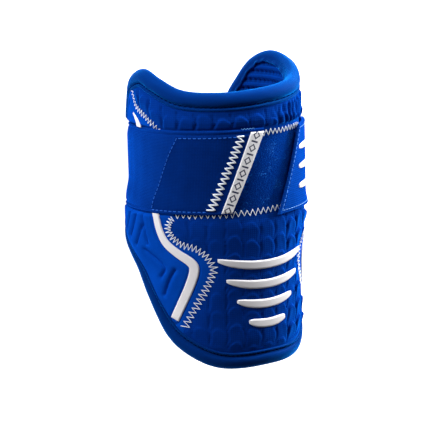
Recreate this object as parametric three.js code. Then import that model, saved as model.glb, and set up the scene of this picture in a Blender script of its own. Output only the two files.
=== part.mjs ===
import * as THREE from "three";

// A baseball batter's elbow guard: a padded shell that wraps three quarters of the way round the arm, open at
// the back, where an elastic strap closes it. It lies on its back, on the flat of the strap and the back edges.
// Sizes are in millimetres and degrees. "Around" runs round the arm from the middle of the front, "along" runs
// up the arm from the chin, which covers the elbow's point, and "out" is the distance from the arm's axis.

// Overall form
const guardLength = 214;
const halfWrap = 131;
const innerRadius = 52.5;
const waistDepth = 1.3;
const waistAlong = 48;
const waistSpan = 40;

// Layers, from the arm outwards
const liningWall = 1.5;
const foamWall = 5.2;
const coverWall = 1.4;
const sideRise = 1.1;
const shieldRise = 2.1;
const strapWall = 1.8;
const labelWall = 0.9;
const tabWall = 3.6;
const stripeWall = 0.9;
const ribRise = 1.2;
const layerGap = 0.35;
const coverClearance = 0.45;
const strapClearance = 0.45;

// Edge binding
const bindingWidth = 12;
const bindingSections = 116;
const bindingSides = 6;

// Strap, the slanted end that is sewn to the front, and the pull tab on its other end
const strapWidth = 58.6;
const strapBelowTop = 73.3;
const strapSlant = 0.388;
const strapEndAround = -12;
const strapCorner = 16.6;
const strapLead = 11;
const strapJoinsTab = 64;
const labelWidth = 9.5;
const tabOverhang = 1.2;
const tabAround = 19.2;
const tabEnd = 76;
const tabOverlap = 12;

// White stripes on the side panels, and raised grip ribs on the chin and the tab
const stripeWidth = 6.2;
const chinRibWidth = 6.4;
const chinRibPitch = 14;
const chinRibFirst = 32;
const chinRibSag = 5;
const tabRibWidth = 4.6;
const tabRibPitch = 14;
const tabRibFrom = 31;
const tabRibTo = 57;

// Side panels' embossed ribs
const panelRibDepth = 0.9;
const panelRibShare = 0.62;
const panelColumns = 10;

// Seams
const seamGap = 0.6;
const lowerSeamDrop = 1.4;
const upperSeamCover = 3.5;

// Colours
const blue = 0x0a3fae;
const brightBlue = 0x0f55d8;
const darkBlue = 0x082a78;
const white = 0xe9e6ea;

// Radii that follow from the layers
const liningOut = innerRadius + liningWall;
const foamIn = liningOut + layerGap;
const foamOut = foamIn + foamWall;
const coverIn = foamOut + coverClearance;
const coverOut = coverIn + coverWall;
const sideOut = coverOut + sideRise;
const shieldOut = coverOut + shieldRise;
const strapIn = coverOut + strapClearance;
const strapOut = strapIn + strapWall;
const midRadius = (innerRadius + sideOut) / 2;
const strapAlong = guardLength - strapBelowTop;
const strapLow = strapAlong - strapWidth / 2;
const strapHigh = strapAlong + strapWidth / 2;
const lowerSeamAlong = strapLow - lowerSeamDrop;
const upperSeamAlong = strapHigh - upperSeamCover;

// The guard's edge, as shares of halfWrap and guardLength. The lower edge is the same on both sides, and the
// upper edge isn't, because the ear on one side is taller.
const lowerEdge = [
  { around: 0, along: 0.002 },
  { around: 0.27, along: 0.008 },
  { around: 0.44, along: 0.053 },
  { around: 0.555, along: 0.107 },
  { around: 0.69, along: 0.222 },
  { around: 0.8, along: 0.318 },
  { around: 0.93, along: 0.392 },
  { around: 1.034, along: 0.46 },
];
const backEdge = [{ around: 1, along: 0.655 }];
const upperEdge = [
  { around: 1.03, along: 0.825 },
  { around: 0.965, along: 0.902 },
  { around: 0.875, along: 0.968 },
  { around: 0.745, along: 1 },
  { around: 0.56, along: 0.984 },
  { around: 0.33, along: 0.942 },
  { around: 0, along: 0.921 },
  { around: -0.25, along: 0.915 },
  { around: -0.43, along: 0.924 },
  { around: -0.575, along: 0.958 },
  { around: -0.71, along: 0.983 },
  { around: -0.865, along: 0.952 },
  { around: -0.965, along: 0.887 },
  { around: -1.03, along: 0.815 },
];

// The seam round the lower shield, from the binding to its upper corner. Like the stripe below, it is the same
// on both sides, and along is a share of the way up to the strap.
const lowerSeam = [
  { around: 0.447, along: 0.24 },
  { around: 0.351, along: 0.465 },
  { around: 0.289, along: 0.605 },
  { around: 0.283, along: 0.676 },
  { around: 0.343, along: 0.768 },
  { around: 0.465, along: 0.828 },
  { around: 0.508, along: 0.918 },
];

// The seam at the upper shield's end, from the strap to the binding. Like the stripe above, along is a share of
// the way from the strap to the top.
const upperSeam = [
  { around: 0.545, along: -0.08 },
  { around: 0.574, along: 0.027 },
  { around: 0.672, along: 0.202 },
  { around: 0.752, along: 0.348 },
  { around: 0.774, along: 0.514 },
];

// The middle line of the white stripe, below and above the strap
const lowerStripe = [
  { around: 0.58, along: 1.037 },
  { around: 0.571, along: 0.97 },
  { around: 0.556, along: 0.891 },
  { around: 0.524, along: 0.815 },
  { around: 0.462, along: 0.751 },
  { around: 0.396, along: 0.695 },
  { around: 0.377, along: 0.645 },
  { around: 0.4, along: 0.549 },
  { around: 0.49, along: 0.327 },
];
const upperStripe = [
  { around: 0.7, along: -0.046 },
  { around: 0.72, along: 0.056 },
  { around: 0.752, along: 0.163 },
  { around: 0.788, along: 0.261 },
  { around: 0.822, along: 0.319 },
];

// How far each raised grip rib on the chin reaches to either side, as a share of halfWrap
const chinRibs = [{ reach: 0.11 }, { reach: 0.17 }, { reach: 0.22 }, { reach: 0.26 }];

const lerp = THREE.MathUtils.lerp;

// Shares from 0 to 1 in equal steps
const even = (steps) => Array.from({ length: steps + 1 }, (_, i) => i / steps);

// Millimetres across the unrolled guard, at its middle radius, for an angle round the arm
const across = (around) => THREE.MathUtils.degToRad(around) * midRadius;

// A width in millimetres at one radius, as millimetres across the unrolled guard
const widthAt = (width, out) => (width * midRadius) / out;

const unrolled = (row, side = 1) =>
  new THREE.Vector2(side * across(row.around * halfWrap), row.along * guardLength);
const below = (row) => new THREE.Vector2(across(row.around * halfWrap), row.along * strapLow);
const above = (row) => new THREE.Vector2(across(row.around * halfWrap), lerp(strapHigh, guardLength, row.along));

// The guard is a little slimmer between the strap and the chin.
const waist = (along) => -waistDepth * Math.exp(-(((along - waistAlong) / waistSpan) ** 2));

// Wraps a point of the unrolled guard round the arm.
function wrap(point, out) {
  const turn = point.x / midRadius;
  const radius = out + waist(point.y);
  return new THREE.Vector3(radius * Math.sin(turn), point.y, radius * Math.cos(turn));
}

// A smooth open line through points of the unrolled guard, as evenly spaced points.
const smooth = (points, steps) => new THREE.SplineCurve(points).getSpacedPoints(steps);

// A point at a share of a line's length.
function atShare(line, share) {
  const lengths = [0];
  for (let i = 1; i < line.length; i++) lengths.push(lengths[i - 1] + line[i].distanceTo(line[i - 1]));
  const goal = share * lengths[line.length - 1];
  let i = 1;
  while (i < line.length - 1 && lengths[i] < goal) i++;
  return line[i - 1].clone().lerp(line[i], (goal - lengths[i - 1]) / (lengths[i] - lengths[i - 1]));
}

// A point at a place across, on a line that runs one way.
function atAcross(line, x) {
  let i = 1;
  while (i < line.length - 1 && (line[i].x - x) * (line[i - 1].x - x) > 0) i++;
  const [from, to] = [line[i - 1], line[i]];
  return new THREE.Vector2(x, lerp(from.y, to.y, (x - from.x) / (to.x - from.x)));
}

// The part of a line between two places across.
function stretch(line, fromX, toX, steps) {
  return Array.from({ length: steps + 1 }, (_, i) => atAcross(line, lerp(fromX, toX, i / steps)));
}

// Where a line first crosses a level.
function crossing(line, level) {
  let i = 1;
  while (i < line.length - 1 && (line[i].y - level) * (line[i - 1].y - level) > 0) i++;
  return line[i - 1].clone().lerp(line[i], (level - line[i - 1].y) / (line[i].y - line[i - 1].y));
}

// A line moved sideways, to its left for a positive distance.
function shifted(line, distance) {
  return line.map((point, i) => {
    const before = line[Math.max(i - 1, 0)];
    const after = line[Math.min(i + 1, line.length - 1)];
    const run = after.clone().sub(before).normalize();
    return new THREE.Vector2(point.x - run.y * distance, point.y + run.x * distance);
  });
}

const mirrored = (line) => line.map((point) => new THREE.Vector2(-point.x, point.y));

// The places on a surface between four lines: rows run from low to high, each from left to right.
function patch(low, high, left, right, shares, rise) {
  return rise.map((v) =>
    shares.map((u) => {
      const [a, b, c, d] = [atShare(low, u), atShare(high, u), atShare(left, v), atShare(right, v)];
      const blend = (key) =>
        (1 - v) * a[key] + v * b[key] + (1 - u) * c[key] + u * d[key] -
        (1 - v) * ((1 - u) * low[0][key] + u * low[low.length - 1][key]) -
        v * ((1 - u) * high[0][key] + u * high[high.length - 1][key]);
      return new THREE.Vector2(blend("x"), blend("y"));
    }),
  );
}

// A closed solid between an inner and an outer grid of points, with the same rows and columns. Each square of
// the grid is split along its shorter diagonal.
function solidBetween(inner, outer) {
  const rows = outer.length;
  const columns = outer[0].length;
  const positions = [...outer.flat(), ...inner.flat()].flatMap((point) => point.toArray());
  const index = [];
  const top = (row, column) => row * columns + column;
  const under = (row, column) => rows * columns + top(row, column);
  const quad = (a, b, c, d) => index.push(a, b, c, a, c, d);
  const skewed = (r, c) =>
    outer[r][c].distanceTo(outer[r + 1][c + 1]) > outer[r][c + 1].distanceTo(outer[r + 1][c]);
  for (let r = 0; r + 1 < rows; r++) {
    for (let c = 0; c + 1 < columns; c++) {
      if (skewed(r, c)) {
        quad(top(r, c + 1), top(r + 1, c + 1), top(r + 1, c), top(r, c));
        quad(under(r, c + 1), under(r, c), under(r + 1, c), under(r + 1, c + 1));
      } else {
        quad(top(r, c), top(r, c + 1), top(r + 1, c + 1), top(r + 1, c));
        quad(under(r, c), under(r + 1, c), under(r + 1, c + 1), under(r, c + 1));
      }
    }
    quad(top(r, 0), top(r + 1, 0), under(r + 1, 0), under(r, 0));
    quad(top(r + 1, columns - 1), top(r, columns - 1), under(r, columns - 1), under(r + 1, columns - 1));
  }
  for (let c = 0; c + 1 < columns; c++) {
    quad(top(0, c + 1), top(0, c), under(0, c), under(0, c + 1));
    quad(top(rows - 1, c), top(rows - 1, c + 1), under(rows - 1, c + 1), under(rows - 1, c));
  }
  const geometry = new THREE.BufferGeometry();
  geometry.setAttribute("position", new THREE.Float32BufferAttribute(positions, 3));
  geometry.setIndex(index);
  geometry.computeVertexNormals();
  return geometry;
}

// A wall that follows the guard, from one radius to another. Either radius may change from place to place.
function wall(grid, innerOut, outerOut) {
  const radius = (out, point, row, column) => (typeof out === "function" ? out(point, row, column) : out);
  const wrapped = (out) => grid.map((line, r) => line.map((point, c) => wrap(point, radius(out, point, r, c))));
  return solidBetween(wrapped(innerOut), wrapped(outerOut));
}

function piece(name, geometry, color, roughness) {
  const made = new THREE.Mesh(geometry, new THREE.MeshStandardMaterial({ color, roughness, metalness: 0 }));
  made.name = name;
  return made;
}

// The guard's outer edge, once round from the middle of the chin, and its corners at the back.
const rightEdge = [...lowerEdge, ...backEdge];
const outlineRows = [
  ...rightEdge.map((row) => unrolled(row)),
  ...upperEdge.map((row) => unrolled(row)),
  ...rightEdge.slice(1).reverse().map((row) => unrolled(row, -1)),
];
const outline = new THREE.CatmullRomCurve3(
  outlineRows.map((point) => new THREE.Vector3(point.x, point.y, 0)),
  true,
  "centripetal",
);
const outlineSteps = 12;

// The outline moved inwards, as a low line and a high line from left to right and a back line on each side.
function inset(distance) {
  const count = outlineRows.length * outlineSteps;
  const line = Array.from({ length: count }, (_, i) => {
    const at = outline.getPoint(i / count);
    const run = outline.getTangent(i / count);
    return new THREE.Vector2(at.x - run.y * distance, at.y + run.x * distance);
  });
  const corner = {
    lowRight: (lowerEdge.length - 1) * outlineSteps,
    highRight: rightEdge.length * outlineSteps,
    highLeft: (rightEdge.length + upperEdge.length - 1) * outlineSteps,
    lowLeft: (rightEdge.length + upperEdge.length + backEdge.length) * outlineSteps,
  };
  return {
    low: [...line.slice(corner.lowLeft), ...line.slice(0, corner.lowRight + 1)],
    right: line.slice(corner.lowRight, corner.highRight + 1),
    high: line.slice(corner.highRight, corner.highLeft + 1).reverse(),
    left: line.slice(corner.highLeft, corner.lowLeft + 1).reverse(),
  };
}

// Where the strap's inside runs at the back, as a radius: round the guard, round a corner, and flat across.
const cornerTurn = THREE.MathUtils.degToRad(halfWrap - strapLead);
const cornerX = (strapIn - strapCorner) * Math.sin(cornerTurn);
const cornerZ = (strapIn - strapCorner) * Math.cos(cornerTurn);
function strapInnerRadius(turn) {
  const away = Math.abs(turn);
  if (away < cornerTurn) return strapIn;
  const [x, z] = [Math.sin(away), Math.cos(away)];
  const middle = x * cornerX + z * cornerZ;
  const reach = strapCorner ** 2 - (cornerX ** 2 + cornerZ ** 2 - middle ** 2);
  return middle + Math.sqrt(Math.max(reach, 0));
}

// What lies under the strap is pressed in to the strap's inside, and is free again past its edges.
const pressedMargin = 5;
const easeMargin = 4;
function underStrap(point, out) {
  const past = Math.abs(point.y - strapAlong) - strapWidth / 2 - pressedMargin;
  const free = THREE.MathUtils.clamp(past / easeMargin, 0, 1);
  const pressed = strapInnerRadius(point.x / midRadius) - strapClearance;
  return lerp(Math.min(out, pressed), out, free);
}

const panelEdge = inset(bindingWidth + seamGap);
const padGrid = patch(panelEdge.low, panelEdge.high, panelEdge.left, panelEdge.right, even(36), even(8));
const makeLining = () => piece("lining", wall(padGrid, innerRadius, liningOut), darkBlue, 0.9);
const makeFoam = () => piece("foam_core", wall(padGrid, foamIn, foamOut), blue, 0.85);

// The padded edge: a half ellipse whose flat side meets the layers, swept once round the outline.
function makeBinding() {
  const ring = [];
  for (let i = 0; i < bindingSections; i++) {
    const at = outline.getPointAt(i / bindingSections);
    const run = outline.getTangentAt(i / bindingSections);
    ring.push(
      even(bindingSides).map((share) => {
        const swing = lerp(-Math.PI / 2, Math.PI / 2, share);
        const inwards = bindingWidth * (1 - Math.cos(swing));
        const point = new THREE.Vector2(at.x - run.y * inwards, at.y + run.x * inwards);
        const half = swing < 0 ? midRadius - innerRadius : sideOut - midRadius;
        return wrap(point, underStrap(point, midRadius + half * Math.sin(swing)));
      }),
    );
  }
  const sides = bindingSides + 1;
  const index = [];
  for (let i = 0; i < bindingSections; i++) {
    const next = (i + 1) % bindingSections;
    for (let j = 0; j < sides; j++) {
      const [a, b] = [i * sides + j, i * sides + ((j + 1) % sides)];
      const [c, d] = [next * sides + ((j + 1) % sides), next * sides + j];
      index.push(a, d, b, b, d, c);
    }
  }
  const geometry = new THREE.BufferGeometry();
  geometry.setAttribute("position", new THREE.Float32BufferAttribute(ring.flat().flatMap((p) => p.toArray()), 3));
  geometry.setIndex(index);
  geometry.computeVertexNormals();
  return piece("edge_binding", geometry, blue, 0.6);
}

// The seam lines on the right side, from low to high, each the same on the left.
const footOfSeam = atAcross(panelEdge.low, below(lowerSeam[0]).x);
const topOfSeam = atAcross(panelEdge.high, -across(upperSeam[upperSeam.length - 1].around * halfWrap));
const lowerCorner = new THREE.Vector2(across(lowerSeam[6].around * halfWrap) * 0.97, lowerSeamAlong);
const upperCorner = new THREE.Vector2(above(upperSeam[0]).x, upperSeamAlong);
const lowerSeamSteps = 11;
const lowerSeamLine = smooth([footOfSeam, ...lowerSeam.slice(1).map(below), lowerCorner], lowerSeamSteps);
const upperSeamLine = smooth(
  [...upperSeam.slice(1, -1).map(above), new THREE.Vector2(-topOfSeam.x, topOfSeam.y)],
  6,
);

// A shield's outer radius falls to its seam all round.
const crowned = (rows, columns) => (point, row, column) => {
  const onEdge = row === 0 || row === rows - 1 || column === 0 || column === columns - 1;
  return onEdge ? coverOut : shieldOut;
};

function makeLowerShield() {
  const right = shifted(lowerSeamLine, seamGap / 2);
  const left = mirrored(right);
  const low = stretch(panelEdge.low, left[0].x, right[0].x, 24);
  const high = [left[left.length - 1], right[right.length - 1]];
  const steps = [0, 0.04, ...even(17).slice(1, -1), 0.96, 1];
  const rise = [0, 0.04, ...even(lowerSeamSteps).slice(1, -1), 0.96, 1];
  const grid = patch(low, high, left, right, steps, rise);
  return piece("lower_shield", wall(grid, coverIn, crowned(rise.length, steps.length)), blue, 0.7);
}

function makeUpperShield() {
  const right = shifted(upperSeamLine, seamGap / 2);
  const left = mirrored(right);
  const high = stretch(panelEdge.high, left[left.length - 1].x, right[right.length - 1].x, 36);
  const steps = even(32);
  const row = (x, along) => steps.map((u) => new THREE.Vector2(lerp(-x, x, u), along));
  const flange = row(upperCorner.x, upperSeamAlong);
  const shoulder = row(right[0].x, strapHigh + layerGap + 1);
  const rows = patch(shoulder, high, left, right, steps, [0, 0.2, 0.6, 0.82, 1]);
  const grid = [flange, ...rows];
  const top = (point, r, column) => {
    const onEdge = r < 2 || r === grid.length - 1 || column === 0 || column === steps.length - 1;
    return onEdge ? coverOut : shieldOut;
  };
  return piece("upper_shield", wall(grid, coverIn, top), blue, 0.7);
}

function makeLoopPanel() {
  const low = lowerSeamAlong + seamGap;
  const high = upperSeamAlong - seamGap;
  const grid = even(2).map((v) => {
    const x = lerp(lowerCorner.x, upperCorner.x, v) - seamGap;
    return even(18).map((u) => new THREE.Vector2(lerp(-x, x, u), lerp(low, high, v)));
  });
  return piece("loop_panel", wall(grid, coverIn, coverOut), darkBlue, 1);
}

// The cover on each side, from the binding to the seams, with embossed ribs across it.
function makeSidePanel(name, side) {
  const seam = [lowerSeamLine, upperSeamLine].flatMap((line) => shifted(line, -seamGap / 2));
  const inner = side > 0 ? seam : mirrored(seam);
  const past = (x) => (point) => side * (point.x - x) > seamGap;
  const back = [
    ...(side > 0 ? panelEdge.low : [...panelEdge.low].reverse()).filter(past(inner[0].x)),
    ...(side > 0 ? panelEdge.right : panelEdge.left).slice(1),
    ...(side > 0 ? [...panelEdge.high].reverse() : panelEdge.high).slice(1).filter(past(inner[inner.length - 1].x)),
  ];
  const halves = inner.flatMap((point, i) => (i ? [inner[i - 1].clone().lerp(point, 0.5), point] : [point]));
  const rows = halves.map((near, i) => {
    const far = atShare(back, i / (halves.length - 1));
    return even(panelColumns).map((u) => near.clone().lerp(far, u));
  });
  const grid = side > 0 ? rows : rows.map((row) => [...row].reverse());
  const outer = (point, row, column) => {
    const share = side > 0 ? column / panelColumns : 1 - column / panelColumns;
    const ribbed = share > 1 - panelRibShare && share < 1 && row % 2 === 1;
    return underStrap(point, sideOut - (ribbed ? panelRibDepth : 0));
  };
  return piece(name, wall(grid, coverIn, outer), brightBlue, 0.6);
}

// A white stripe along a line on a side panel. Its end by the strap is cut level, just clear of the strap.
function makeStripe(name, points, side, level) {
  const right = smooth(points, points.length * 3);
  const line = side > 0 ? right : mirrored(right);
  const from = sideOut + layerGap;
  const half = widthAt(stripeWidth, from) / 2;
  const edges = [half, -half].map((distance) => shifted(line, distance));
  const clear = (point) => Math.abs(point.y - strapAlong) > Math.abs(level - strapAlong) + seamGap;
  const pairs = line.map((_, i) => edges.map((edge) => edge[i])).filter((pair) => pair.every(clear));
  const grid = [edges.map((edge) => crossing(edge, level)), ...pairs];
  return piece(name, wall(grid, from, from + stripeWall), white, 0.4);
}

// The strap's slanted lines at the front, parallel to the end of the strap.
const slanted = (around, along) => across(around) + (along - strapAlong) * strapSlant;

function makeStrap() {
  const labelEdge = (along) => slanted(strapEndAround, along) / midRadius;
  const start = THREE.MathUtils.degToRad(strapJoinsTab);
  const [arcSteps, cornerSteps, flatSteps, longSteps] = [8, 5, 3, 16];
  const place = (turn, out) => [out * Math.sin(turn), out * Math.cos(turn)];
  const corner = (turn, out, side) => {
    const radius = strapCorner + out - strapIn;
    return [side * (cornerX + radius * Math.sin(turn)), cornerZ + radius * Math.cos(turn)];
  };
  const section = (out, along) => [
    ...even(arcSteps).map((t) => place(lerp(start, cornerTurn, t), out)),
    ...even(cornerSteps).slice(1).map((t) => corner(lerp(cornerTurn, Math.PI, t), out, 1)),
    ...even(flatSteps).slice(1, -1).map((t) => [lerp(cornerX, -cornerX, t), cornerZ - strapCorner - out + strapIn]),
    ...even(cornerSteps).map((t) => corner(lerp(Math.PI, cornerTurn, t), out, -1)),
    ...even(longSteps).slice(1).map((t) => place(lerp(-cornerTurn, labelEdge(along), t), out)),
  ];
  const grid = (out) =>
    even(4).map((v) => {
      const along = lerp(strapLow, strapHigh, v);
      return section(out, along).map(([x, z]) => new THREE.Vector3(x, along, z));
    });
  return piece("strap", solidBetween(grid(strapIn), grid(strapOut)), blue, 0.65);
}

// A piece on the strap's front, between two slanted lines.
function slantedWall(left, right, low, high, steps, innerOut, outerOut) {
  const grid = even(5).map((v) => {
    const along = lerp(low, high, v);
    return even(steps).map((u) => new THREE.Vector2(lerp(left(along), right(along), u), along));
  });
  return wall(grid, innerOut, outerOut);
}

const labelIn = strapOut + layerGap;
const labelRight = (along) => slanted(strapEndAround, along);
const labelLeft = (along) => labelRight(along) - widthAt(labelWidth, labelIn);

function makeLabel() {
  const geometry = slantedWall(labelLeft, labelRight, strapLow, strapHigh, 2, labelIn, labelIn + labelWall);
  return piece("label_strip", geometry, white, 0.5);
}

// The tab lies on the loop panel, and steps up over the strap's end where the two are sewn together.
const tabOut = strapIn + tabWall;
function makePullTab() {
  const step = across(strapJoinsTab) - 2 * seamGap;
  const end = step + tabOverlap;
  const [low, high] = [strapLow - tabOverhang, strapHigh + tabOverhang];
  const grid = even(5).map((v) => {
    const along = lerp(low, high, v);
    const front = even(7).map((u) => new THREE.Vector2(lerp(slanted(tabAround, along), step, u), along));
    return [...front, ...even(2).map((u) => new THREE.Vector2(lerp(step + seamGap, end, u), along))];
  });
  const under = (point) => (point.x > step + seamGap / 2 ? strapOut + layerGap : strapIn);
  return piece("pull_tab", wall(grid, under, tabOut), brightBlue, 0.6);
}

// A raised rib across the guard, thinner towards its ends, that bends up by the sag.
function ribSolid(fromX, toX, along, width, sag, innerOut) {
  const shape = even(10).map((u) => {
    const off = Math.abs(2 * u - 1);
    const half = (width / 2) * Math.sqrt(1 - 0.86 * off ** 4);
    return { x: lerp(fromX, toX, u), middle: along + sag * off ** 2, half };
  });
  const grid = [-1, 1].map((side) => shape.map((s) => new THREE.Vector2(s.x, s.middle + side * s.half)));
  return wall(grid, innerOut, innerOut + ribRise);
}

function makeRibs() {
  const onChin = chinRibs.map((rib, i) => {
    const x = across(rib.reach * halfWrap);
    const along = chinRibFirst + i * chinRibPitch;
    const geometry = ribSolid(-x, x, along, chinRibWidth, chinRibSag * rib.reach * 4, shieldOut + layerGap);
    return piece(`chin_rib_${i + 1}`, geometry, white, 0.4);
  });
  const onTab = [-1, 0, 1].map((i) => {
    const along = strapAlong + i * tabRibPitch;
    const geometry = ribSolid(across(tabRibFrom), across(tabRibTo), along, tabRibWidth, 0, tabOut + layerGap);
    return piece(`tab_rib_${i + 2}`, geometry, white, 0.4);
  });
  return [...onChin, ...onTab];
}

// The whole guard, set down so that the floor's origin is under the middle of it.
const guard = new THREE.Group();
guard.add(
  makeLining(),
  makeFoam(),
  makeBinding(),
  makeLowerShield(),
  makeUpperShield(),
  makeLoopPanel(),
  makeSidePanel("side_panel_left", -1),
  makeSidePanel("side_panel_right", 1),
  makeStripe("stripe_lower_left", lowerStripe.map(below), -1, strapLow - seamGap),
  makeStripe("stripe_lower_right", lowerStripe.map(below), 1, strapLow - seamGap),
  makeStripe("stripe_upper_left", upperStripe.map(above), -1, strapHigh + seamGap),
  makeStripe("stripe_upper_right", upperStripe.map(above), 1, strapHigh + seamGap),
  makeStrap(),
  makeLabel(),
  makePullTab(),
  ...makeRibs(),
);
const bounds = new THREE.Box3().setFromObject(guard);
const middle = bounds.getCenter(new THREE.Vector3());
guard.position.set(-middle.x, -middle.y, -bounds.min.z);

const part = new THREE.Group();
part.add(guard);

export default part;
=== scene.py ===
import math

import bmesh
import bpy
import numpy as np
from mathutils import Matrix, Vector
from mathutils.kdtree import KDTree


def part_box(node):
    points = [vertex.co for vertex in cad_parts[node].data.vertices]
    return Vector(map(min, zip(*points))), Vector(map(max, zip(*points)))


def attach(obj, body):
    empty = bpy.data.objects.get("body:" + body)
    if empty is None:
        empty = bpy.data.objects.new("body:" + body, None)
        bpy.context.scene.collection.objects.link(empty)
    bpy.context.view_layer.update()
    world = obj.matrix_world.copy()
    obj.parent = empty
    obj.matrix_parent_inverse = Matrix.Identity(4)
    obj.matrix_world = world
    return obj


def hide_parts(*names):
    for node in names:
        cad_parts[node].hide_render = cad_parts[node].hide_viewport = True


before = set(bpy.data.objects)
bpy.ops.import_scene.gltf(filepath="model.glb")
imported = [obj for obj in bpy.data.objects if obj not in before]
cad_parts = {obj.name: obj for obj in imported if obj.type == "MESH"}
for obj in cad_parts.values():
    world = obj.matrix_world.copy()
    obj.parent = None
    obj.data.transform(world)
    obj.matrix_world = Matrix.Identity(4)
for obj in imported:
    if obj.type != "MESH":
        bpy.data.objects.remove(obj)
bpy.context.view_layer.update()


# The pale table that the guard lies on, the studio's soft panels and the camera, which looks at the guard's
# front from a little to its left and above its middle. The strap's box tells how high the arm's axis is and
# where the chin starts. The guard's own sizes are in mm throughout.
strap_over_axis, chin_to_strap = 63.65, 111.4
arm_height = 1000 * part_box("strap")[1].z - strap_over_axis
chin_start = 1000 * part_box("strap")[0].y - chin_to_strap


def set_inputs(node, values):
    for name, value in values.items():
        node.inputs[name].default_value = value


def add_node(tree, kind, values=None, **settings):
    node = tree.nodes.new(kind)
    for name, value in settings.items():
        setattr(node, name, value)
    set_inputs(node, values or {})
    return node


def new_finish(name, colour, roughness):
    finish = bpy.data.materials.new(name)
    finish.use_nodes = True
    shader = finish.node_tree.nodes["Principled BSDF"]
    set_inputs(shader, {"Base Color": (*colour, 1), "Roughness": roughness})
    return finish, finish.node_tree, shader


def mesh_of(shape, name):
    """Makes a bmesh into a mesh."""
    mesh = bpy.data.meshes.new(name)
    shape.to_mesh(mesh)
    shape.free()
    return mesh


def own_object(name, mesh, finish):
    piece = bpy.data.objects.new(name, mesh)
    bpy.context.scene.collection.objects.link(piece)
    mesh.materials.append(finish)
    return piece


table_finish, _, table_shader = new_finish("pale_table", (0.9, 0.9, 0.9), roughness=0.8)
set_inputs(table_shader, {"Emission Color": (1, 1, 1, 1), "Emission Strength": 1.0})
top = bmesh.new()
bmesh.ops.create_grid(top, x_segments=2, y_segments=2, size=4)
table = own_object("pale_table", mesh_of(top, "pale_table"), table_finish)

middle = Vector((0, 100 + chin_start, arm_height)) * 0.001
turned, raised, leaning = math.radians(35), math.radians(10.5), math.radians(1.5)
level_away = math.cos(raised)
towards = Vector((-math.sin(turned) * level_away, math.sin(raised), math.cos(turned) * level_away))
level_right = Vector((math.cos(turned), 0, math.sin(turned)))
level_up = towards.cross(level_right)
right = math.cos(leaning) * level_right - math.sin(leaning) * level_up
upward = math.sin(leaning) * level_right + math.cos(leaning) * level_up
camera = bpy.data.objects.new("camera", bpy.data.cameras.new("camera"))
camera.data.lens = 174.4
camera.data.sensor_width = 36
camera_away = 1.5
placed = Matrix((right, upward, towards)).transposed().to_4x4()
placed.translation = middle + camera_away * towards
camera.matrix_world = placed
bpy.context.scene.collection.objects.link(camera)
bpy.context.scene.camera = camera

for name, place, width, height, power in (
    ("right_panel", (0.9, 0.45, 0.25), 0.25, 0.6, 30),
    ("left_panel", (-0.68, 0.75, 0.16), 0.25, 0.5, 11),
    ("far_panel", (0.4, 1.1, 0.35), 0.6, 0.25, 12),
    ("high_panel", (-0.2, 0.6, 1.1), 0.6, 0.6, 1.8),
):
    panel = bpy.data.objects.new(name, bpy.data.lights.new(name, "AREA"))
    panel.data.shape = "RECTANGLE"
    panel.data.size, panel.data.size_y = width, height
    panel.data.energy = power
    panel.location = place
    panel.rotation_euler = (middle - Vector(place)).to_track_quat("-Z", "Y").to_euler()
    bpy.context.scene.collection.objects.link(panel)
sky = bpy.data.worlds.new("soft_room")
sky.use_nodes = True
set_inputs(sky.node_tree.nodes["Background"], {"Color": (0.9, 0.95, 1, 1), "Strength": 0.07})
bpy.context.scene.world = sky
bpy.context.scene.view_settings.view_transform = "Standard"


# The padding: foam with a knitted spacer mesh bonded inside, in rows of ridges and holes. It is cut flat,
# wrapped round the arm and bound along its edge. All else is sewn on it, so places are given on the flat
# piece: across from the front's middle, along from the chin, and out from the arm's axis.
mid_out = 57.5
strap_middle, strap_half = 140.7, 29.3
strap_bed, bend_round, bend_away, bend_turn = 61.85, 18.8, 40.95, math.radians(120)
side_flare, left_draw, chin_lean, waist_in = 2.6, 2.2, 1.4, 1.3
soft_rest = 0.8
uv_per_mm = 0.01


def blend_in(amount):
    amount = np.clip(amount, 0, 1)
    return amount * amount * (3 - 2 * amount)


def bump_at(gap, reach):
    return np.exp(-((gap / reach) ** 2))


def wrapped(across, along, out):
    """Takes places on the flat piece, in mm, to places on the guard, in metres and over the table."""
    turn = across / mid_out
    spread = np.abs(turn) - np.where(turn > 0, 0.35, 0.9)
    flare_end = np.where(turn > 0, 103, 116)
    flare = side_flare * blend_in((along - 64) / 24) * (1 - blend_in((along - flare_end) / 16))
    flare = flare - left_draw * blend_in((along - 160) / 14) * (turn < 0)
    flare = flare * blend_in(spread / 0.8) * (1 - blend_in((np.abs(turn) - 2.05) / 0.35))
    lean = -chin_lean * np.sin(turn) * blend_in((36 - along) / 30)
    waist = waist_in * bump_at(along - 48, 40)
    out = out - waist + flare + lean
    height = out * np.cos(turn) + arm_height
    pressed_flat = soft_rest * np.exp(np.minimum(height / soft_rest - 1, 0))
    height = np.where(height < soft_rest, pressed_flat, height)
    return 0.001 * np.stack([out * np.sin(turn), along + chin_start, height], -1)


def strap_path(turn, lift):
    """How far out the strap runs: over the front and the sides, then round a bend and flat behind."""
    away = np.abs((turn + math.pi) % (2 * math.pi) - math.pi)
    on_sides = strap_bed - 2.1 * blend_in((np.degrees(away) - 62) / 43) + lift
    bend_x, bend_z = bend_away * math.sin(bend_turn), bend_away * math.cos(bend_turn)
    nearest = np.sin(away) * bend_x + np.cos(away) * bend_z
    room = (bend_round + lift) ** 2 - (bend_x**2 + bend_z**2 - nearest**2)
    round_bend = nearest + np.sqrt(np.maximum(room, 0))
    flat = (bend_round - bend_z + lift) / np.maximum(-np.cos(away), 0.2)
    behind = np.where(round_bend * np.sin(away) > bend_x, round_bend, flat)
    return np.where(away < bend_turn, on_sides, behind)


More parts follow.
